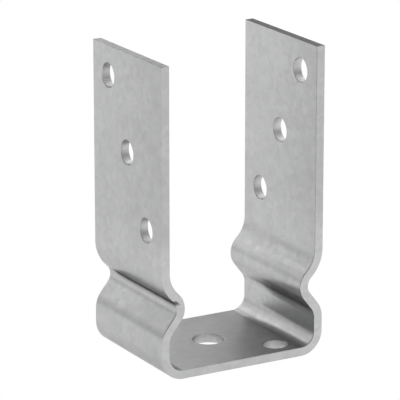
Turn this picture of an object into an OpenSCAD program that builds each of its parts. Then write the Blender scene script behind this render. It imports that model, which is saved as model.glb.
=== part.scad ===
// Bolt-down post base, folded from one strip of flat steel.
// The underside of the foot plate lies on the XY plane, with its middle at the origin.
// The strip runs along X, is as wide along Y as it was rolled, and its two arms stand up along Z.
// Each side is pressed in to a waist above the foot, and the post's end rests on the slope over it,
// so that the timber stays clear of the wet ground.

/* [Steel strip] */
// Width of the flat steel strip
strip_w = 60; // [45:1:90]
// Thickness of the flat steel strip
strip_t = 4; // [3:0.5:5]

/* [Post cradle] */
// Width of the square post between the arms
post_w = 70; // [60:1:120]
// Clearance on each side of the post
post_clearance = 1; // [0.5:0.25:3]
// Height of the arms above the ground
overall_h = 138; // [130:1:200]

/* [Waist] */
// Height of the waist above the ground, at the middle of the strip's thickness
waist_z = 31.4; // [27:0.1:42]
// How far the waist is pressed in from the line of the arm
waist_depth = 7.3; // [6.2:0.1:10]
// Slope of the flank below the waist, from upright
lower_flank_angle = 38; // [25:0.5:50]
// Slope of the flank above the waist, from upright
upper_flank_angle = 43.5; // [25:0.5:46]

/* [Inside radii of the bends] */
// Bend from the foot plate up into the wall
foot_bend_r = 6.5; // [3:0.5:10]
// Bend from the wall into the lower flank
heel_bend_r = 7; // [3:0.5:12]
// Bend at the waist
waist_bend_r = 5; // [3:0.5:8]
// Bend from the upper flank into the arm
shoulder_bend_r = 13; // [6:0.5:16]

/* [Holes in the arms] */
// Diameter of the screw holes in the arms
arm_hole_d = 11; // [6:0.5:14]
// Distance from the arm's end to the middle of its top hole
arm_hole_top = 13.2; // [10:0.1:20]
// Distance from the strip's edge to the middle of an outer hole
arm_hole_edge = 13.5; // [9:0.1:20]
// Height from one hole of the slanting row to the next
arm_hole_step = 30.3; // [20:0.1:34]

/* [Holes in the foot plate] */
// Diameter of the anchor bolt's hole in the middle
anchor_hole_d = 14; // [8:0.5:20]
// Diameter of the screw holes beside it
foot_hole_d = 11; // [6:0.5:14]
// Distance from the wall's outer face to the middle of a screw hole
foot_hole_inset = 18.2; // [15:0.1:22]
// Distance from the strip's edge to the middle of a screw hole
foot_hole_edge = 9.5; // [8:0.1:15]

/* [Hidden] */
$fn = 96;

// Widths across the folded strip
cradle_w = post_w + 2 * post_clearance;
outer_w = cradle_w + 2 * strip_t;

// Radii of the bends at the middle of the thickness
heel_mid_r = heel_bend_r + strip_t / 2;
waist_mid_r = waist_bend_r + strip_t / 2;
shoulder_mid_r = shoulder_bend_r + strip_t / 2;

// Straight stretches, from the foot plate up to the arm's end
foot_flat = outer_w - 2 * (foot_bend_r + strip_t);
lower_flank = flank_length(lower_flank_angle, heel_mid_r);
upper_flank = flank_length(upper_flank_angle, shoulder_mid_r);
heel_wall = waist_z - flank_rise(lower_flank_angle, heel_mid_r, lower_flank) - foot_bend_r - strip_t;
arm_length = overall_h - waist_z - flank_rise(upper_flank_angle, shoulder_mid_r, upper_flank);

// Middles of the holes
arm_mid_x = (cradle_w + strip_t) / 2;
arm_hole_y = strip_w / 2 - arm_hole_edge;
arm_hole_mid_z = overall_h - arm_hole_top - arm_hole_step;
foot_hole_x = outer_w / 2 - foot_hole_inset;
foot_hole_y = strip_w / 2 - foot_hole_edge;

// Length of a drill that passes right through one wall
drill_l = 3 * strip_t;

// Reach of the tongue that joins two stretches, to each side of their seam
seam_lap = strip_t / 10;

// Straight length of a flank that leans by angle and spans the waist's depth,
// together with the bend at the waist and the bend of radius end_r at its other end
function flank_length(angle, end_r) =
    (waist_depth - (end_r + waist_mid_r) * (1 - cos(angle))) / sin(angle);

// Height of that flank with its two bends
function flank_rise(angle, end_r, length) =
    (end_r + waist_mid_r) * sin(angle) + length * cos(angle);

// Straight stretch of the strip's section, which runs along X with its lower face on Y = 0,
// with what follows it placed at its end
module flat(length) {
    square([length, strip_t]);
    translate([length, 0]) children();
}

// Tongue across the seam between two stretches, in the middle half of the thickness
module seam_tongue() {
    translate([-seam_lap, strip_t / 4]) square([2 * seam_lap, strip_t / 2]);
}

// Bend in the strip's section, to the left for a positive angle and to the right for a negative one,
// with what follows it placed at its end
module bend(angle, inside_r) {
    outside_r = inside_r + strip_t;
    centre_y = angle > 0 ? outside_r : -inside_r;
    seam_tongue();
    translate([0, centre_y]) {
        difference() {
            circle(outside_r);
            circle(inside_r);
            translate([-2 * outside_r, -outside_r]) square(2 * outside_r);
            rotate(angle) translate([0, -outside_r]) square(2 * outside_r);
        }
        rotate(angle) translate([0, -centre_y]) {
            seam_tongue();
            children();
        }
    }
}

// Section of one side, from the end of the foot plate's flat up to the arm's end
module side_section() {
    bend(90, foot_bend_r)
    flat(heel_wall)
    bend(lower_flank_angle, heel_bend_r)
    flat(lower_flank)
    bend(-lower_flank_angle - upper_flank_angle, waist_bend_r)
    flat(upper_flank)
    bend(upper_flank_angle, shoulder_bend_r)
    flat(arm_length);
}

// Section of the whole strip, with the same fold on both sides
module strip_section() {
    translate([-foot_flat / 2, 0]) square([foot_flat, strip_t]);
    for (side = [0, 1]) {
        mirror([side, 0]) translate([foot_flat / 2, 0]) side_section();
    }
}

// Slanting row of holes in each arm, the same on both when the base is turned end for end
module arm_holes() {
    for (side = [-1, 1], row = [-1, 0, 1]) {
        translate([side * arm_mid_x, -side * row * arm_hole_y, arm_hole_mid_z + row * arm_hole_step])
            rotate([0, 90, 0]) cylinder(h = drill_l, d = arm_hole_d, center = true);
    }
}

// Anchor hole in the middle of the foot plate, with a screw hole on each side of it
module foot_holes() {
    cylinder(h = drill_l, d = anchor_hole_d, center = true);
    for (side = [-1, 1]) {
        translate([side * foot_hole_x, -side * foot_hole_y, 0])
            cylinder(h = drill_l, d = foot_hole_d, center = true);
    }
}

module post_base() {
    color([0.72, 0.73, 0.73]) difference() {
        rotate([90, 0, 0]) linear_extrude(strip_w, center = true) strip_section();
        arm_holes();
        foot_holes();
    }
}

post_base();
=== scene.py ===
import bpy
from math import cos, pi, radians, sin
from mathutils import Matrix, Vector


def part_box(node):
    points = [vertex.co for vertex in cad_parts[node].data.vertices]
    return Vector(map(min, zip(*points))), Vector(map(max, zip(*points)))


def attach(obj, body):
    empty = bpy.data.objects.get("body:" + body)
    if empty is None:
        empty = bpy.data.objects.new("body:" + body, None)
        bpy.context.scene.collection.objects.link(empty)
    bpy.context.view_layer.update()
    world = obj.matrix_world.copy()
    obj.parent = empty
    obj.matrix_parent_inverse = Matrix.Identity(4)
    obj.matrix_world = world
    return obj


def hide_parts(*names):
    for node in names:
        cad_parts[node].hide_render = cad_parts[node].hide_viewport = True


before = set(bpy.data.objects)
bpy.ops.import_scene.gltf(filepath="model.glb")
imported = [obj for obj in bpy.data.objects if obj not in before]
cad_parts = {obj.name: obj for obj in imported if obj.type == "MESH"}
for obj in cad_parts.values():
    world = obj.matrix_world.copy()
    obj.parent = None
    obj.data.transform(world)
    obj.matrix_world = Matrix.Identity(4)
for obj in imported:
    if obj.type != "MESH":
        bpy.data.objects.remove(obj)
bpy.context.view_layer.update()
mm = 0.001
print("frame loaded:", sorted(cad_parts))


def addNode(tree, kind, **settings):
    node = tree.nodes.new(kind)
    for name, value in settings.items():
        setattr(node, name, value)
    return node


def wire(tree, start, end):
    tree.links.new(start, end)


# folded strip

stripSettings = {
    "thickness": 4.0 * mm,
    "edgeRadius": 0.35 * mm,     # rolled edge of the flat bar
    "waistHeight": 31.4 * mm,
    "waistDepth": 7.3 * mm,
    "lowerFlank": 38.0,          # degrees from upright
    "upperFlank": 43.5,
    "footBend": 6.5 * mm,        # inside radii
    "heelBend": 7.0 * mm,
    "waistBend": 5.0 * mm,
    "shoulderBend": 13.0 * mm,
    "bendSteps": 18,
    "edgeSteps": 4,
    "rimBevel": 0.25 * mm,
    "rimSegments": 3,
    "rimAngle": 50.0,            # degrees, only edges sharper than this are eased
    "flatWeight": 100,           # keeps the large faces flat in shading
}
holeSettings = {
    "armDiameter": 11.0 * mm,
    "armTop": 13.2 * mm,         # arm's end to the top hole
    "armEdge": 13.5 * mm,        # strip's edge to an outer hole
    "armStep": 30.3 * mm,
    "anchorDiameter": 14.0 * mm,
    "footDiameter": 11.0 * mm,
    "footInset": 18.2 * mm,
    "footEdge": 9.5 * mm,
    "rimSteps": 64,
    "inRow": 3,                  # holes in a row
    "drillReach": 3.0,           # length of a drill in thicknesses
}

low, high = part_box("post_base")
stripWidth = high[1] - low[1]
armHeight = high[2]
halfGauge = stripSettings["thickness"] / 2
armX = high[0] - halfGauge       # middle of the arm's thickness


# corners of the fold at the middle of the thickness, where the straight stretches would meet
def sideCorners():
    lower = radians(stripSettings["lowerFlank"])
    upper = radians(stripSettings["upperFlank"])
    waistRadius = stripSettings["waistBend"] + halfGauge
    centreX = armX - stripSettings["waistDepth"] + waistRadius
    centreZ = stripSettings["waistHeight"]
    inset = armX - centreX
    heelZ = centreZ - (waistRadius + inset * cos(lower)) / sin(lower)
    shoulderZ = centreZ + (waistRadius + inset * cos(upper)) / sin(upper)
    reach = waistRadius / sin(lower + upper)
    waistX = centreX - reach * (sin(lower) + sin(upper))
    waistZ = centreZ + reach * (cos(lower) - cos(upper))
    return [
        (armX, halfGauge, stripSettings["footBend"] + halfGauge),
        (armX, heelZ, stripSettings["heelBend"] + halfGauge),
        (waistX, waistZ, waistRadius),
        (armX, shoulderZ, stripSettings["shoulderBend"] + halfGauge),
        (armX, armHeight, 0.0),
    ]


# zinc finishes

zincSettings = {
    "cloudScale": 70.0,          # soft patches of the dip, about 14 mm
    "spangleScale": 380.0,       # small crystals, about 2.6 mm
    "gritScale": 1900.0,         # fine matte tooth, about 0.5 mm
    "cloudDetail": 4.0,
    "cloudRoughness": 0.55,
    "gritDetail": 2.0,
    "mottleRange": (0.3, 0.7),   # where the mottle's lows and highs lie
    "cool": 1.005,               # green and blue against red
    "glance": 0.6,               # matte zinc dulls towards a glancing view
}
# shares of clouds, crystals and grit in each output
mottleShares = {
    "Mottle": (0.55, 0.25, 0.20),
    "Gloss": (0.45, 0.35, 0.20),
    "Height": (0.50, 0.08, 0.12),
}
# tone and roughness from one end of the mottle to the other, and the depth of its bump
finishSettings = {
    "zincSkin": {"tone": (0.315, 0.365), "roughness": (0.28, 0.36), "bump": 0.01 * mm},
    "punchedWall": {"tone": (0.36, 0.43), "roughness": (0.44, 0.54), "bump": 0.02 * mm},
    "shearedEnd": {"tone": (0.30, 0.38), "roughness": (0.40, 0.52), "bump": 0.02 * mm},
}
paintedCreaseShadeSettings = {
    "shade": 0.25,               # painted shade: tone that is left in the crease over the waist
    "start": 1.5 * mm,           # heights over the waist's middle
    "full": 2.9 * mm,
    "fade": 3.6 * mm,
    "end": 4.5 * mm,
    "within": 0.5 * mm,          # out from the middle of the thickness
    "face": 1.5 * mm,
    "open": -26.0 * mm,          # along the strip's width, where the crease runs out
    "closed": -21.0 * mm,
}
paintedSideShadeSettings = {
    "shade": 0.88,               # painted shade: the arms a little darker towards one edge
    "bottom": 50.0 * mm,         # heights between which it sets in
    "top": 70.0 * mm,
}
endSettings = {
    "rightShade": 0.40,          # the right arm's end is darker than the left
}


def makeZincMottle():
    tree = bpy.data.node_groups.new("zincMottle", "ShaderNodeTree")
    face = tree.interface
    for name in ("Cloud Scale", "Spangle Scale", "Grit Scale"):
        face.new_socket(name, in_out="INPUT", socket_type="NodeSocketFloat")
    for name in mottleShares:
        face.new_socket(name, in_out="OUTPUT", socket_type="NodeSocketFloat")
    sizes = addNode(tree, "NodeGroupInput")
    result = addNode(tree, "NodeGroupOutput")
    place = addNode(tree, "ShaderNodeTexCoord")

    cloud = addNode(tree, "ShaderNodeTexNoise")
    cloud.inputs["Detail"].default_value = zincSettings["cloudDetail"]
    cloud.inputs["Roughness"].default_value = zincSettings["cloudRoughness"]
    spangle = addNode(tree, "ShaderNodeTexVoronoi", feature="F1")
    grit = addNode(tree, "ShaderNodeTexNoise")
    grit.inputs["Detail"].default_value = zincSettings["gritDetail"]
    for texture, name in ((cloud, "Cloud Scale"), (spangle, "Spangle Scale"), (grit, "Grit Scale")):
        wire(tree, place.outputs["Object"], texture.inputs["Vector"])
        wire(tree, sizes.outputs[name], texture.inputs["Scale"])
    crystal = addNode(tree, "ShaderNodeSeparateColor")
    wire(tree, spangle.outputs["Color"], crystal.inputs["Color"])

    # each output takes its own channel of the crystals
    for name, channel in zip(mottleShares, ("Red", "Green", "Blue")):
        sources = (cloud.outputs["Fac"], crystal.outputs[channel], grit.outputs["Fac"])
        total = None
        for source, share in zip(sources, mottleShares[name]):
            part = addNode(tree, "ShaderNodeMath", operation="MULTIPLY_ADD")
            part.inputs[1].default_value = share
            part.inputs[2].default_value = 0.0
            wire(tree, source, part.inputs[0])
            if total:
                wire(tree, total.outputs[0], part.inputs[2])
            total = part
        wire(tree, total.outputs[0], result.inputs[name])
    return tree


def addRamp(tree, source, start, end, first=0.0, last=1.0, interpolation="SMOOTHSTEP"):
    ramp = addNode(tree, "ShaderNodeMapRange", interpolation_type=interpolation)
    for name, value in (("From Min", start), ("From Max", end), ("To Min", first), ("To Max", last)):
        ramp.inputs[name].default_value = value
    wire(tree, source, ramp.inputs["Value"])
    return ramp.outputs["Result"]


def addMath(tree, operation, first, second):
    node = addNode(tree, "ShaderNodeMath", operation=operation)
    for i, term in enumerate((first, second)):
        if isinstance(term, float):
            node.inputs[i].default_value = term
        else:
            wire(tree, term, node.inputs[i])
    return node.outputs[0]


def objectAxes(tree):
    place = addNode(tree, "ShaderNodeTexCoord")
    axes = addNode(tree, "ShaderNodeSeparateXYZ")
    wire(tree, place.outputs["Object"], axes.inputs["Vector"])
    return axes.outputs["X"], axes.outputs["Y"], axes.outputs["Z"]


# painted shade in the crease: a dark band just over the waist on the outer face alone,
# the same on both sides after a half turn
def paintedCreaseShadeMask(tree):
    waistX, waistZ = sideCorners()[2][:2]
    shoulderX, shoulderZ = sideCorners()[3][:2]
    slope = (shoulderX - waistX) / (shoulderZ - waistZ)
    x, y, z = objectAxes(tree)
    rise = addMath(tree, "SUBTRACT", z, waistZ)
    middle = addMath(tree, "ADD", addMath(tree, "MULTIPLY", rise, slope), waistX)
    outward = addMath(tree, "SUBTRACT", addMath(tree, "ABSOLUTE", x, 0.0), middle)
    along = addMath(tree, "MULTIPLY", addMath(tree, "SIGN", x, 0.0), y)
    base = stripSettings["waistHeight"]
    bands = (
        addRamp(tree, outward, paintedCreaseShadeSettings["within"], paintedCreaseShadeSettings["face"]),
        addRamp(tree, z, base + paintedCreaseShadeSettings["start"], base + paintedCreaseShadeSettings["full"]),
        addRamp(tree, z, base + paintedCreaseShadeSettings["fade"], base + paintedCreaseShadeSettings["end"], 1.0, 0.0),
        addRamp(tree, along, paintedCreaseShadeSettings["open"], paintedCreaseShadeSettings["closed"]),
    )
    mask = bands[0]
    for band in bands[1:]:
        mask = addMath(tree, "MULTIPLY", mask, band)
    return mask


# painted shade: a slow darkening across the arms' width
def paintedSideShadeMask(tree):
    x, y, z = objectAxes(tree)
    across = addRamp(tree, y, stripWidth / 2, -stripWidth / 2, interpolation="LINEAR")
    arms = addRamp(tree, z, paintedSideShadeSettings["bottom"], paintedSideShadeSettings["top"])
    return addMath(tree, "MULTIPLY", across, arms)


def shadeTone(tree, tone, mask, shade):
    darker = addNode(tree, "ShaderNodeMix", data_type="RGBA", blend_type="MULTIPLY")
    darker.inputs[7].default_value = (shade, shade, shade, 1.0)
    wire(tree, mask, darker.inputs[0])
    wire(tree, tone, darker.inputs[6])
    return darker.outputs[2]


def makeZinc(name, group):
    finish = finishSettings[name]
    material = bpy.data.materials.new(name)
    material.use_nodes = True
    tree = material.node_tree
    shader = tree.nodes["Principled BSDF"]
    shader.inputs["Metallic"].default_value = 1.0
    glance = zincSettings["glance"]
    shader.inputs["Specular Tint"].default_value = (glance, glance, glance, 1.0)
    mottle = addNode(tree, "ShaderNodeGroup", node_tree=group)
    mottle.inputs["Cloud Scale"].default_value = zincSettings["cloudScale"]
    mottle.inputs["Spangle Scale"].default_value = zincSettings["spangleScale"]
    mottle.inputs["Grit Scale"].default_value = zincSettings["gritScale"]
    tone = addNode(tree, "ShaderNodeValToRGB")
    cool = zincSettings["cool"]
    for i, grey in enumerate(finish["tone"]):
        tone.color_ramp.elements[i].position = zincSettings["mottleRange"][i]
        tone.color_ramp.elements[i].color = (grey, grey * cool, grey * cool, 1.0)
    wire(tree, mottle.outputs["Mottle"], tone.inputs["Fac"])
    colour = tone.outputs["Color"]
    if name == "zincSkin":
        # painted shade: the arms darker towards one edge
        colour = shadeTone(tree, colour, paintedSideShadeMask(tree), paintedSideShadeSettings["shade"])
        # painted shade in the crease over the waist
        colour = shadeTone(tree, colour, paintedCreaseShadeMask(tree), paintedCreaseShadeSettings["shade"])
    if name == "shearedEnd":
        rightEnd = addRamp(tree, objectAxes(tree)[0], -armX, armX)
        colour = shadeTone(tree, colour, rightEnd, endSettings["rightShade"])
    wire(tree, colour, shader.inputs["Base Color"])
    rough = addNode(tree, "ShaderNodeMapRange")
    for i, end in enumerate(("Min", "Max")):
        rough.inputs["From " + end].default_value = zincSettings["mottleRange"][i]
        rough.inputs["To " + end].default_value = finish["roughness"][i]
    wire(tree, mottle.outputs["Gloss"], rough.inputs["Value"])
    wire(tree, rough.outputs["Result"], shader.inputs["Roughness"])
    bump = addNode(tree, "ShaderNodeBump")
    bump.inputs["Distance"].default_value = finish["bump"]
    wire(tree, mottle.outputs["Height"], bump.inputs["Height"])
    wire(tree, bump.outputs["Normal"], shader.inputs["Normal"])
    return material


zincMottle = makeZincMottle()
finishes = [makeZinc(name, zincMottle) for name in finishSettings]
zincSkin, punchedWall, shearedEnd = finishes
print("finishes:", [finish.name for finish in finishes])


def makeFoldLine():
    right = sideCorners()
    left = [(-x, z, radius) for x, z, radius in reversed(right)]
    corners = left + right
    line = bpy.data.meshes.new("foldLine")
    line.from_pydata(
        [(x, 0.0, z) for x, z, radius in corners],
        [(i, i + 1) for i in range(len(corners) - 1)],
        [],
    )
    bend = line.attributes.new("bendRadius", "FLOAT", "POINT")
    for i, (x, z, radius) in enumerate(corners):
        bend.data[i].value = radius
    return line


def makeStripTree():
    tree = bpy.data.node_groups.new("foldedStripTree", "GeometryNodeTree")
    tree.is_modifier = True
    face = tree.interface
    face.new_socket("Fold Line", in_out="INPUT", socket_type="NodeSocketGeometry")
    for name in (
        "Strip Width", "Strip Thickness", "Edge Radius", "Arm Hole Radius",
        "Anchor Hole Ratio", "Drill Length", "End Height",
    ):
        face.new_socket(name, in_out="INPUT", socket_type="NodeSocketFloat")
    for name in ("Bend Steps", "Edge Steps", "Rim Steps", "Holes In Row"):
        face.new_socket(name, in_out="INPUT", socket_type="NodeSocketInt")
    for name in ("Arm Row Start", "Arm Row Step", "Foot Row Start", "Foot Row Step"):
        face.new_socket(name, in_out="INPUT", socket_type="NodeSocketVector")
    for name in ("Skin", "Punched Wall", "Sheared End"):
        face.new_socket(name, in_out="INPUT", socket_type="NodeSocketMaterial")
    face.new_socket("Strip", in_out="OUTPUT", socket_type="NodeSocketGeometry")
    given = addNode(tree, "NodeGroupInput").outputs
    result = addNode(tree, "NodeGroupOutput")

    # bends rolled into the fold line, then the bar's section swept along it
    path = addNode(tree, "GeometryNodeMeshToCurve")
    bends = addNode(tree, "GeometryNodeFilletCurve", mode="POLY")
    bendRadius = addNode(tree, "GeometryNodeInputNamedAttribute", data_type="FLOAT")
    bendRadius.inputs["Name"].default_value = "bendRadius"
    section = addNode(tree, "GeometryNodeCurvePrimitiveQuadrilateral", mode="RECTANGLE")
    rolled = addNode(tree, "GeometryNodeFilletCurve", mode="POLY")
    sweep = addNode(tree, "GeometryNodeCurveToMesh")
    sweep.inputs["Fill Caps"].default_value = True
    wire(tree, given["Fold Line"], path.inputs["Mesh"])
    wire(tree, path.outputs["Curve"], bends.inputs["Curve"])
    wire(tree, bendRadius.outputs["Attribute"], bends.inputs["Radius"])
    wire(tree, given["Bend Steps"], bends.inputs["Count"])
    wire(tree, given["Strip Thickness"], section.inputs["Width"])
    wire(tree, given["Strip Width"], section.inputs["Height"])
    wire(tree, section.outputs["Curve"], rolled.inputs["Curve"])
    wire(tree, given["Edge Radius"], rolled.inputs["Radius"])
    wire(tree, given["Edge Steps"], rolled.inputs["Count"])
    wire(tree, bends.outputs["Curve"], sweep.inputs["Curve"])
    wire(tree, rolled.outputs["Curve"], sweep.inputs["Profile Curve"])

    # drills in rows: a slanting row for an arm, turned about for the other arm, and one across the foot
    drill = addNode(tree, "GeometryNodeMeshCylinder", fill_type="NGON")
    wire(tree, given["Rim Steps"], drill.inputs["Vertices"])
    wire(tree, given["Arm Hole Radius"], drill.inputs["Radius"])
    wire(tree, given["Drill Length"], drill.inputs["Depth"])
    marked = addNode(tree, "GeometryNodeStoreNamedAttribute", data_type="BOOLEAN", domain="FACE")
    marked.inputs["Name"].default_value = "cutFace"
    marked.inputs["Value"].default_value = True
    wire(tree, drill.outputs["Mesh"], marked.inputs["Geometry"])

    armRow = addNode(tree, "GeometryNodeMeshLine", mode="OFFSET")
    wire(tree, given["Holes In Row"], armRow.inputs["Count"])
    wire(tree, given["Arm Row Start"], armRow.inputs["Start Location"])
    wire(tree, given["Arm Row Step"], armRow.inputs["Offset"])
    armDrills = addNode(tree, "GeometryNodeInstanceOnPoints")
    armDrills.inputs["Rotation"].default_value = (0.0, pi / 2, 0.0)
    wire(tree, armRow.outputs["Mesh"], armDrills.inputs["Points"])
    wire(tree, marked.outputs["Geometry"], armDrills.inputs["Instance"])
    otherArm = addNode(tree, "GeometryNodeTransform")
    otherArm.inputs["Rotation"].default_value = (0.0, 0.0, pi)
    wire(tree, armDrills.outputs["Instances"], otherArm.inputs["Geometry"])

    footRow = addNode(tree, "GeometryNodeMeshLine", mode="OFFSET")
    wire(tree, given["Holes In Row"], footRow.inputs["Count"])
    wire(tree, given["Foot Row Start"], footRow.inputs["Start Location"])
    wire(tree, given["Foot Row Step"], footRow.inputs["Offset"])
    number = addNode(tree, "GeometryNodeInputIndex")
    inMiddle = addNode(tree, "FunctionNodeCompare", data_type="INT", operation="EQUAL")
    inMiddle.inputs[3].default_value = 1
    wire(tree, number.outputs["Index"], inMiddle.inputs[2])
    drillSize = addNode(tree, "GeometryNodeSwitch", input_type="FLOAT")
    drillSize.inputs["False"].default_value = 1.0
    wire(tree, inMiddle.outputs["Result"], drillSize.inputs["Switch"])
    wire(tree, given["Anchor Hole Ratio"], drillSize.inputs["True"])
    footDrills = addNode(tree, "GeometryNodeInstanceOnPoints")
    wire(tree, footRow.outputs["Mesh"], footDrills.inputs["Points"])
    wire(tree, marked.outputs["Geometry"], footDrills.inputs["Instance"])
    wire(tree, drillSize.outputs["Output"], footDrills.inputs["Scale"])

    drills = addNode(tree, "GeometryNodeJoinGeometry")
    wire(tree, armDrills.outputs["Instances"], drills.inputs["Geometry"])
    wire(tree, otherArm.outputs["Geometry"], drills.inputs["Geometry"])
    wire(tree, footDrills.outputs["Instances"], drills.inputs["Geometry"])
    solidDrills = addNode(tree, "GeometryNodeRealizeInstances")
    wire(tree, drills.outputs["Geometry"], solidDrills.inputs["Geometry"])
    drilled = addNode(tree, "GeometryNodeMeshBoolean", operation="DIFFERENCE", solver="EXACT")
    wire(tree, sweep.outputs["Mesh"], drilled.inputs["Mesh 1"])
    wire(tree, solidDrills.outputs["Geometry"], drilled.inputs["Mesh 2"])

    # smooth shading, then the skin all over, and their own finish on the hole walls and the arms' ends
    smooth = addNode(tree, "GeometryNodeSetShadeSmooth")
    whole = addNode(tree, "GeometryNodeRealizeInstances")
    skin = addNode(tree, "GeometryNodeSetMaterial")
    cut = addNode(tree, "GeometryNodeSetMaterial")
    cutFace = addNode(tree, "GeometryNodeInputNamedAttribute", data_type="BOOLEAN")
    cutFace.inputs["Name"].default_value = "cutFace"
    wire(tree, drilled.outputs["Mesh"], smooth.inputs["Geometry"])
    wire(tree, smooth.outputs["Geometry"], whole.inputs["Geometry"])
    wire(tree, whole.outputs["Geometry"], skin.inputs["Geometry"])
    wire(tree, given["Skin"], skin.inputs["Material"])
    wire(tree, skin.outputs["Geometry"], cut.inputs["Geometry"])
    wire(tree, cutFace.outputs["Attribute"], cut.inputs["Selection"])
    wire(tree, given["Punched Wall"], cut.inputs["Material"])
    ends = addNode(tree, "GeometryNodeSetMaterial")
    place = addNode(tree, "GeometryNodeInputPosition")
    axes = addNode(tree, "ShaderNodeSeparateXYZ")
    atEnd = addNode(tree, "FunctionNodeCompare", data_type="FLOAT", operation="GREATER_THAN")
    wire(tree, place.outputs["Position"], axes.inputs["Vector"])
    wire(tree, axes.outputs["Z"], atEnd.inputs[0])
    wire(tree, given["End Height"], atEnd.inputs[1])
    wire(tree, cut.outputs["Geometry"], ends.inputs["Geometry"])
    wire(tree, atEnd.outputs["Result"], ends.inputs["Selection"])
    wire(tree, given["Sheared End"], ends.inputs["Material"])
    wire(tree, ends.outputs["Geometry"], result.inputs["Strip"])
    return tree


def makeFoldedStrip():
    piece = bpy.data.objects.new("foldedStrip", makeFoldLine())
    bpy.context.scene.collection.objects.link(piece)
    tree = makeStripTree()
    armHoleY = stripWidth / 2 - holeSettings["armEdge"]
    footHoleX = high[0] - holeSettings["footInset"]
    footHoleY = stripWidth / 2 - holeSettings["footEdge"]
    lowestHole = armHeight - holeSettings["armTop"] - (holeSettings["inRow"] - 1) * holeSettings["armStep"]
    sizes = {
        "Strip Width": stripWidth,
        "Strip Thickness": stripSettings["thickness"],
        "Edge Radius": stripSettings["edgeRadius"],
        "Bend Steps": stripSettings["bendSteps"],
        "Edge Steps": stripSettings["edgeSteps"],
        "Rim Steps": holeSettings["rimSteps"],
        "Holes In Row": holeSettings["inRow"],
        "Arm Hole Radius": holeSettings["armDiameter"] / 2,
        "Anchor Hole Ratio": holeSettings["anchorDiameter"] / holeSettings["footDiameter"],
        "Drill Length": holeSettings["drillReach"] * stripSettings["thickness"],
        "Arm Row Start": (armX, armHoleY, lowestHole),
        "Arm Row Step": (0.0, -armHoleY, holeSettings["armStep"]),
        "Foot Row Start": (-footHoleX, footHoleY, halfGauge),
        "Foot Row Step": (footHoleX, -footHoleY, 0.0),
        "End Height": armHeight - stripSettings["edgeRadius"],
        "Skin": zincSkin,
        "Punched Wall": punchedWall,
        "Sheared End": shearedEnd,
    }
    fold = piece.modifiers.new("fold", "NODES")
    fold.node_group = tree
    for socket in tree.interface.items_tree:
        if socket.in_out == "INPUT" and socket.name in sizes:
            fold[socket.identifier] = sizes[socket.name]
    rims = piece.modifiers.new("rims", "BEVEL")
    rims.width = stripSettings["rimBevel"]
    rims.segments = stripSettings["rimSegments"]
    rims.limit_method = "ANGLE"
    rims.angle_limit = radians(stripSettings["rimAngle"])
    rims.use_clamp_overlap = True
    flats = piece.modifiers.new("flats", "WEIGHTED_NORMAL")
    flats.weight = stripSettings["flatWeight"]
    finished = piece.evaluated_get(bpy.context.evaluated_depsgraph_get())
    mesh = bpy.data.meshes.new_from_object(finished)
    piece.modifiers.clear()
    piece.data = mesh
    mesh.name = "foldedStrip"

    # one slot for each finish, and none that the sweep left empty
    names = [finish.name for finish in finishes]
    worn = [names.index(mesh.materials[face.material_index].name) for face in mesh.polygons]
    mesh.materials.clear()
    for finish in finishes:
        mesh.materials.append(finish)
    mesh.polygons.foreach_set("material_index", worn)
    for helper in ("bendRadius", "cutFace"):
        mesh.attributes.remove(mesh.attributes[helper])
    return piece


foldedStrip = makeFoldedStrip()
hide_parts("post_base")
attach(foldedStrip, "root")
shape = foldedStrip.data
print("folded strip:", len(shape.vertices), "points,", len(shape.polygons), "faces")

# floor, light and camera

studioSettings = {
    "floorSide": 6.0,
    "floorDrop": 0.05 * mm,
    "floorTone": (0.40, 0.40, 0.40, 1.0),
    "floorGlow": 1.24,           # what the steel mirrors from below
    "roomGlow": 0.21,            # faint light from all round
    "paper": 1.0,                # white of the floor and backdrop behind the object
    "aim": (0.0, 0.0, 20.0 * mm),
    "reach": 0.9,                # from the aim to each softbox, in metres
}
# softboxes: azimuth from the back towards the right, elevation, width, height, brightness
softboxes = {
    "backLeftBox": (-30.0, 13.0, 0.32, 0.40, 1.24),
    "backBox": (-15.0, 13.0, 0.32, 0.40, 1.80),
    "backRightBox": (15.0, 13.0, 0.32, 0.40, 1.82),
    "rightBackBox": (30.0, 13.0, 0.32, 0.40, 0.50),
    "backOver": (-10.0, 33.0, 0.38, 0.28, 2.23),
    "backRightOver": (15.0, 33.0, 0.38, 0.28, 1.23),
    "rightOver": (40.0, 33.0, 0.38, 0.28, 1.18),
    "highRight": (60.0, 53.0, 0.50, 0.40, 3.33),
    "highFrontRight": (120.0, 53.0, 0.50, 0.40, 1.43),
    "frontRightBox": (150.0, 16.0, 0.80, 0.56, 0.90),
    "frontFill": (-165.0, 15.0, 0.80, 0.50, 0.55),
    "leftFill": (-100.0, 15.0, 0.80, 0.50, 0.80),
    "rightFill": (90.0, 15.0, 0.80, 0.50, 0.80),
    "overhead": (0.0, 88.0, 0.80, 0.80, 0.94),
}
viewSettings = {
    "target": (-3.475 * mm, 1.279 * mm, 67.874 * mm),
    "azimuth": -29.827,
    "elevation": 16.231,
    "distance": 1291.35 * mm,
    "lens": 268.09,
    "sensor": 36.0,
    "farClip": 50.0,
}


# plain white where the camera looks, and its own light everywhere else
def addPaper(tree, lit, output):
    path = addNode(tree, "ShaderNodeLightPath")
    paper = addNode(tree, "ShaderNodeEmission")
    paper.inputs["Strength"].default_value = studioSettings["paper"]
    choice = addNode(tree, "ShaderNodeMixShader")
    wire(tree, path.outputs["Is Camera Ray"], choice.inputs["Fac"])
    wire(tree, lit, choice.inputs[1])
    wire(tree, paper.outputs["Emission"], choice.inputs[2])
    wire(tree, choice.outputs["Shader"], output)


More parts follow.
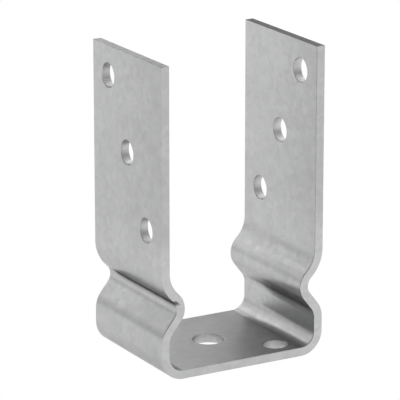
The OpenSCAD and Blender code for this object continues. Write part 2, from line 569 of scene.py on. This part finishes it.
def makeFloor():
    half = studioSettings["floorSide"] / 2
    level = low[2] - studioSettings["floorDrop"]
    mesh = bpy.data.meshes.new("paleFloor")
    mesh.from_pydata(
        [(-half, -half, level), (half, -half, level), (half, half, level), (-half, half, level)],
        [],
        [(0, 1, 2, 3)],
    )
    floor = bpy.data.objects.new("paleFloor", mesh)
    bpy.context.scene.collection.objects.link(floor)
    material = bpy.data.materials.new("paleFloor")
    material.use_nodes = True
    tree = material.node_tree
    shader = tree.nodes["Principled BSDF"]
    shader.inputs["Base Color"].default_value = studioSettings["floorTone"]
    shader.inputs["Roughness"].default_value = 1.0
    shader.inputs["Specular IOR Level"].default_value = 0.0
    shader.inputs["Emission Color"].default_value = (1.0, 1.0, 1.0, 1.0)
    shader.inputs["Emission Strength"].default_value = studioSettings["floorGlow"]
    addPaper(tree, shader.outputs["BSDF"], tree.nodes["Material Output"].inputs["Surface"])
    mesh.materials.append(material)
    return floor


def makeSoftbox(name, azimuth, elevation, width, height, brightness):
    turn = radians(azimuth)
    rise = radians(elevation)
    away = Vector((sin(turn) * cos(rise), cos(turn) * cos(rise), sin(rise)))
    lamp = bpy.data.lights.new(name, "AREA")
    lamp.shape = "RECTANGLE"
    lamp.size = width
    lamp.size_y = height
    lamp.energy = brightness * pi * width * height
    box = bpy.data.objects.new(name, lamp)
    bpy.context.scene.collection.objects.link(box)
    spot = Vector(studioSettings["aim"]) + away * studioSettings["reach"]
    box.matrix_world = Matrix.Translation(spot) @ away.to_track_quat("Z", "Y").to_matrix().to_4x4()
    box.visible_camera = False


def makeStudio():
    world = bpy.data.worlds.new("studio")
    world.use_nodes = True
    tree = world.node_tree
    room = tree.nodes["Background"]
    room.inputs["Color"].default_value = (1.0, 1.0, 1.0, 1.0)
    room.inputs["Strength"].default_value = studioSettings["roomGlow"]
    addPaper(tree, room.outputs["Background"], tree.nodes["World Output"].inputs["Surface"])
    bpy.context.scene.world = world
    bpy.context.scene.view_settings.view_transform = "Standard"
    for name, values in softboxes.items():
        makeSoftbox(name, *values)


def makeCamera():
    turn = radians(viewSettings["azimuth"])
    rise = radians(viewSettings["elevation"])
    back = Vector((sin(turn) * cos(rise), -cos(turn) * cos(rise), sin(rise)))
    lens = bpy.data.cameras.new("camera")
    lens.sensor_width = viewSettings["sensor"]
    lens.lens = viewSettings["lens"]
    lens.clip_end = viewSettings["farClip"]
    camera = bpy.data.objects.new("camera", lens)
    bpy.context.scene.collection.objects.link(camera)
    spot = Vector(viewSettings["target"]) + back * viewSettings["distance"]
    camera.matrix_world = Matrix.Translation(spot) @ back.to_track_quat("Z", "Y").to_matrix().to_4x4()
    bpy.context.scene.camera = camera


makeFloor()
makeStudio()
makeCamera()
print("floor, light and camera in place")
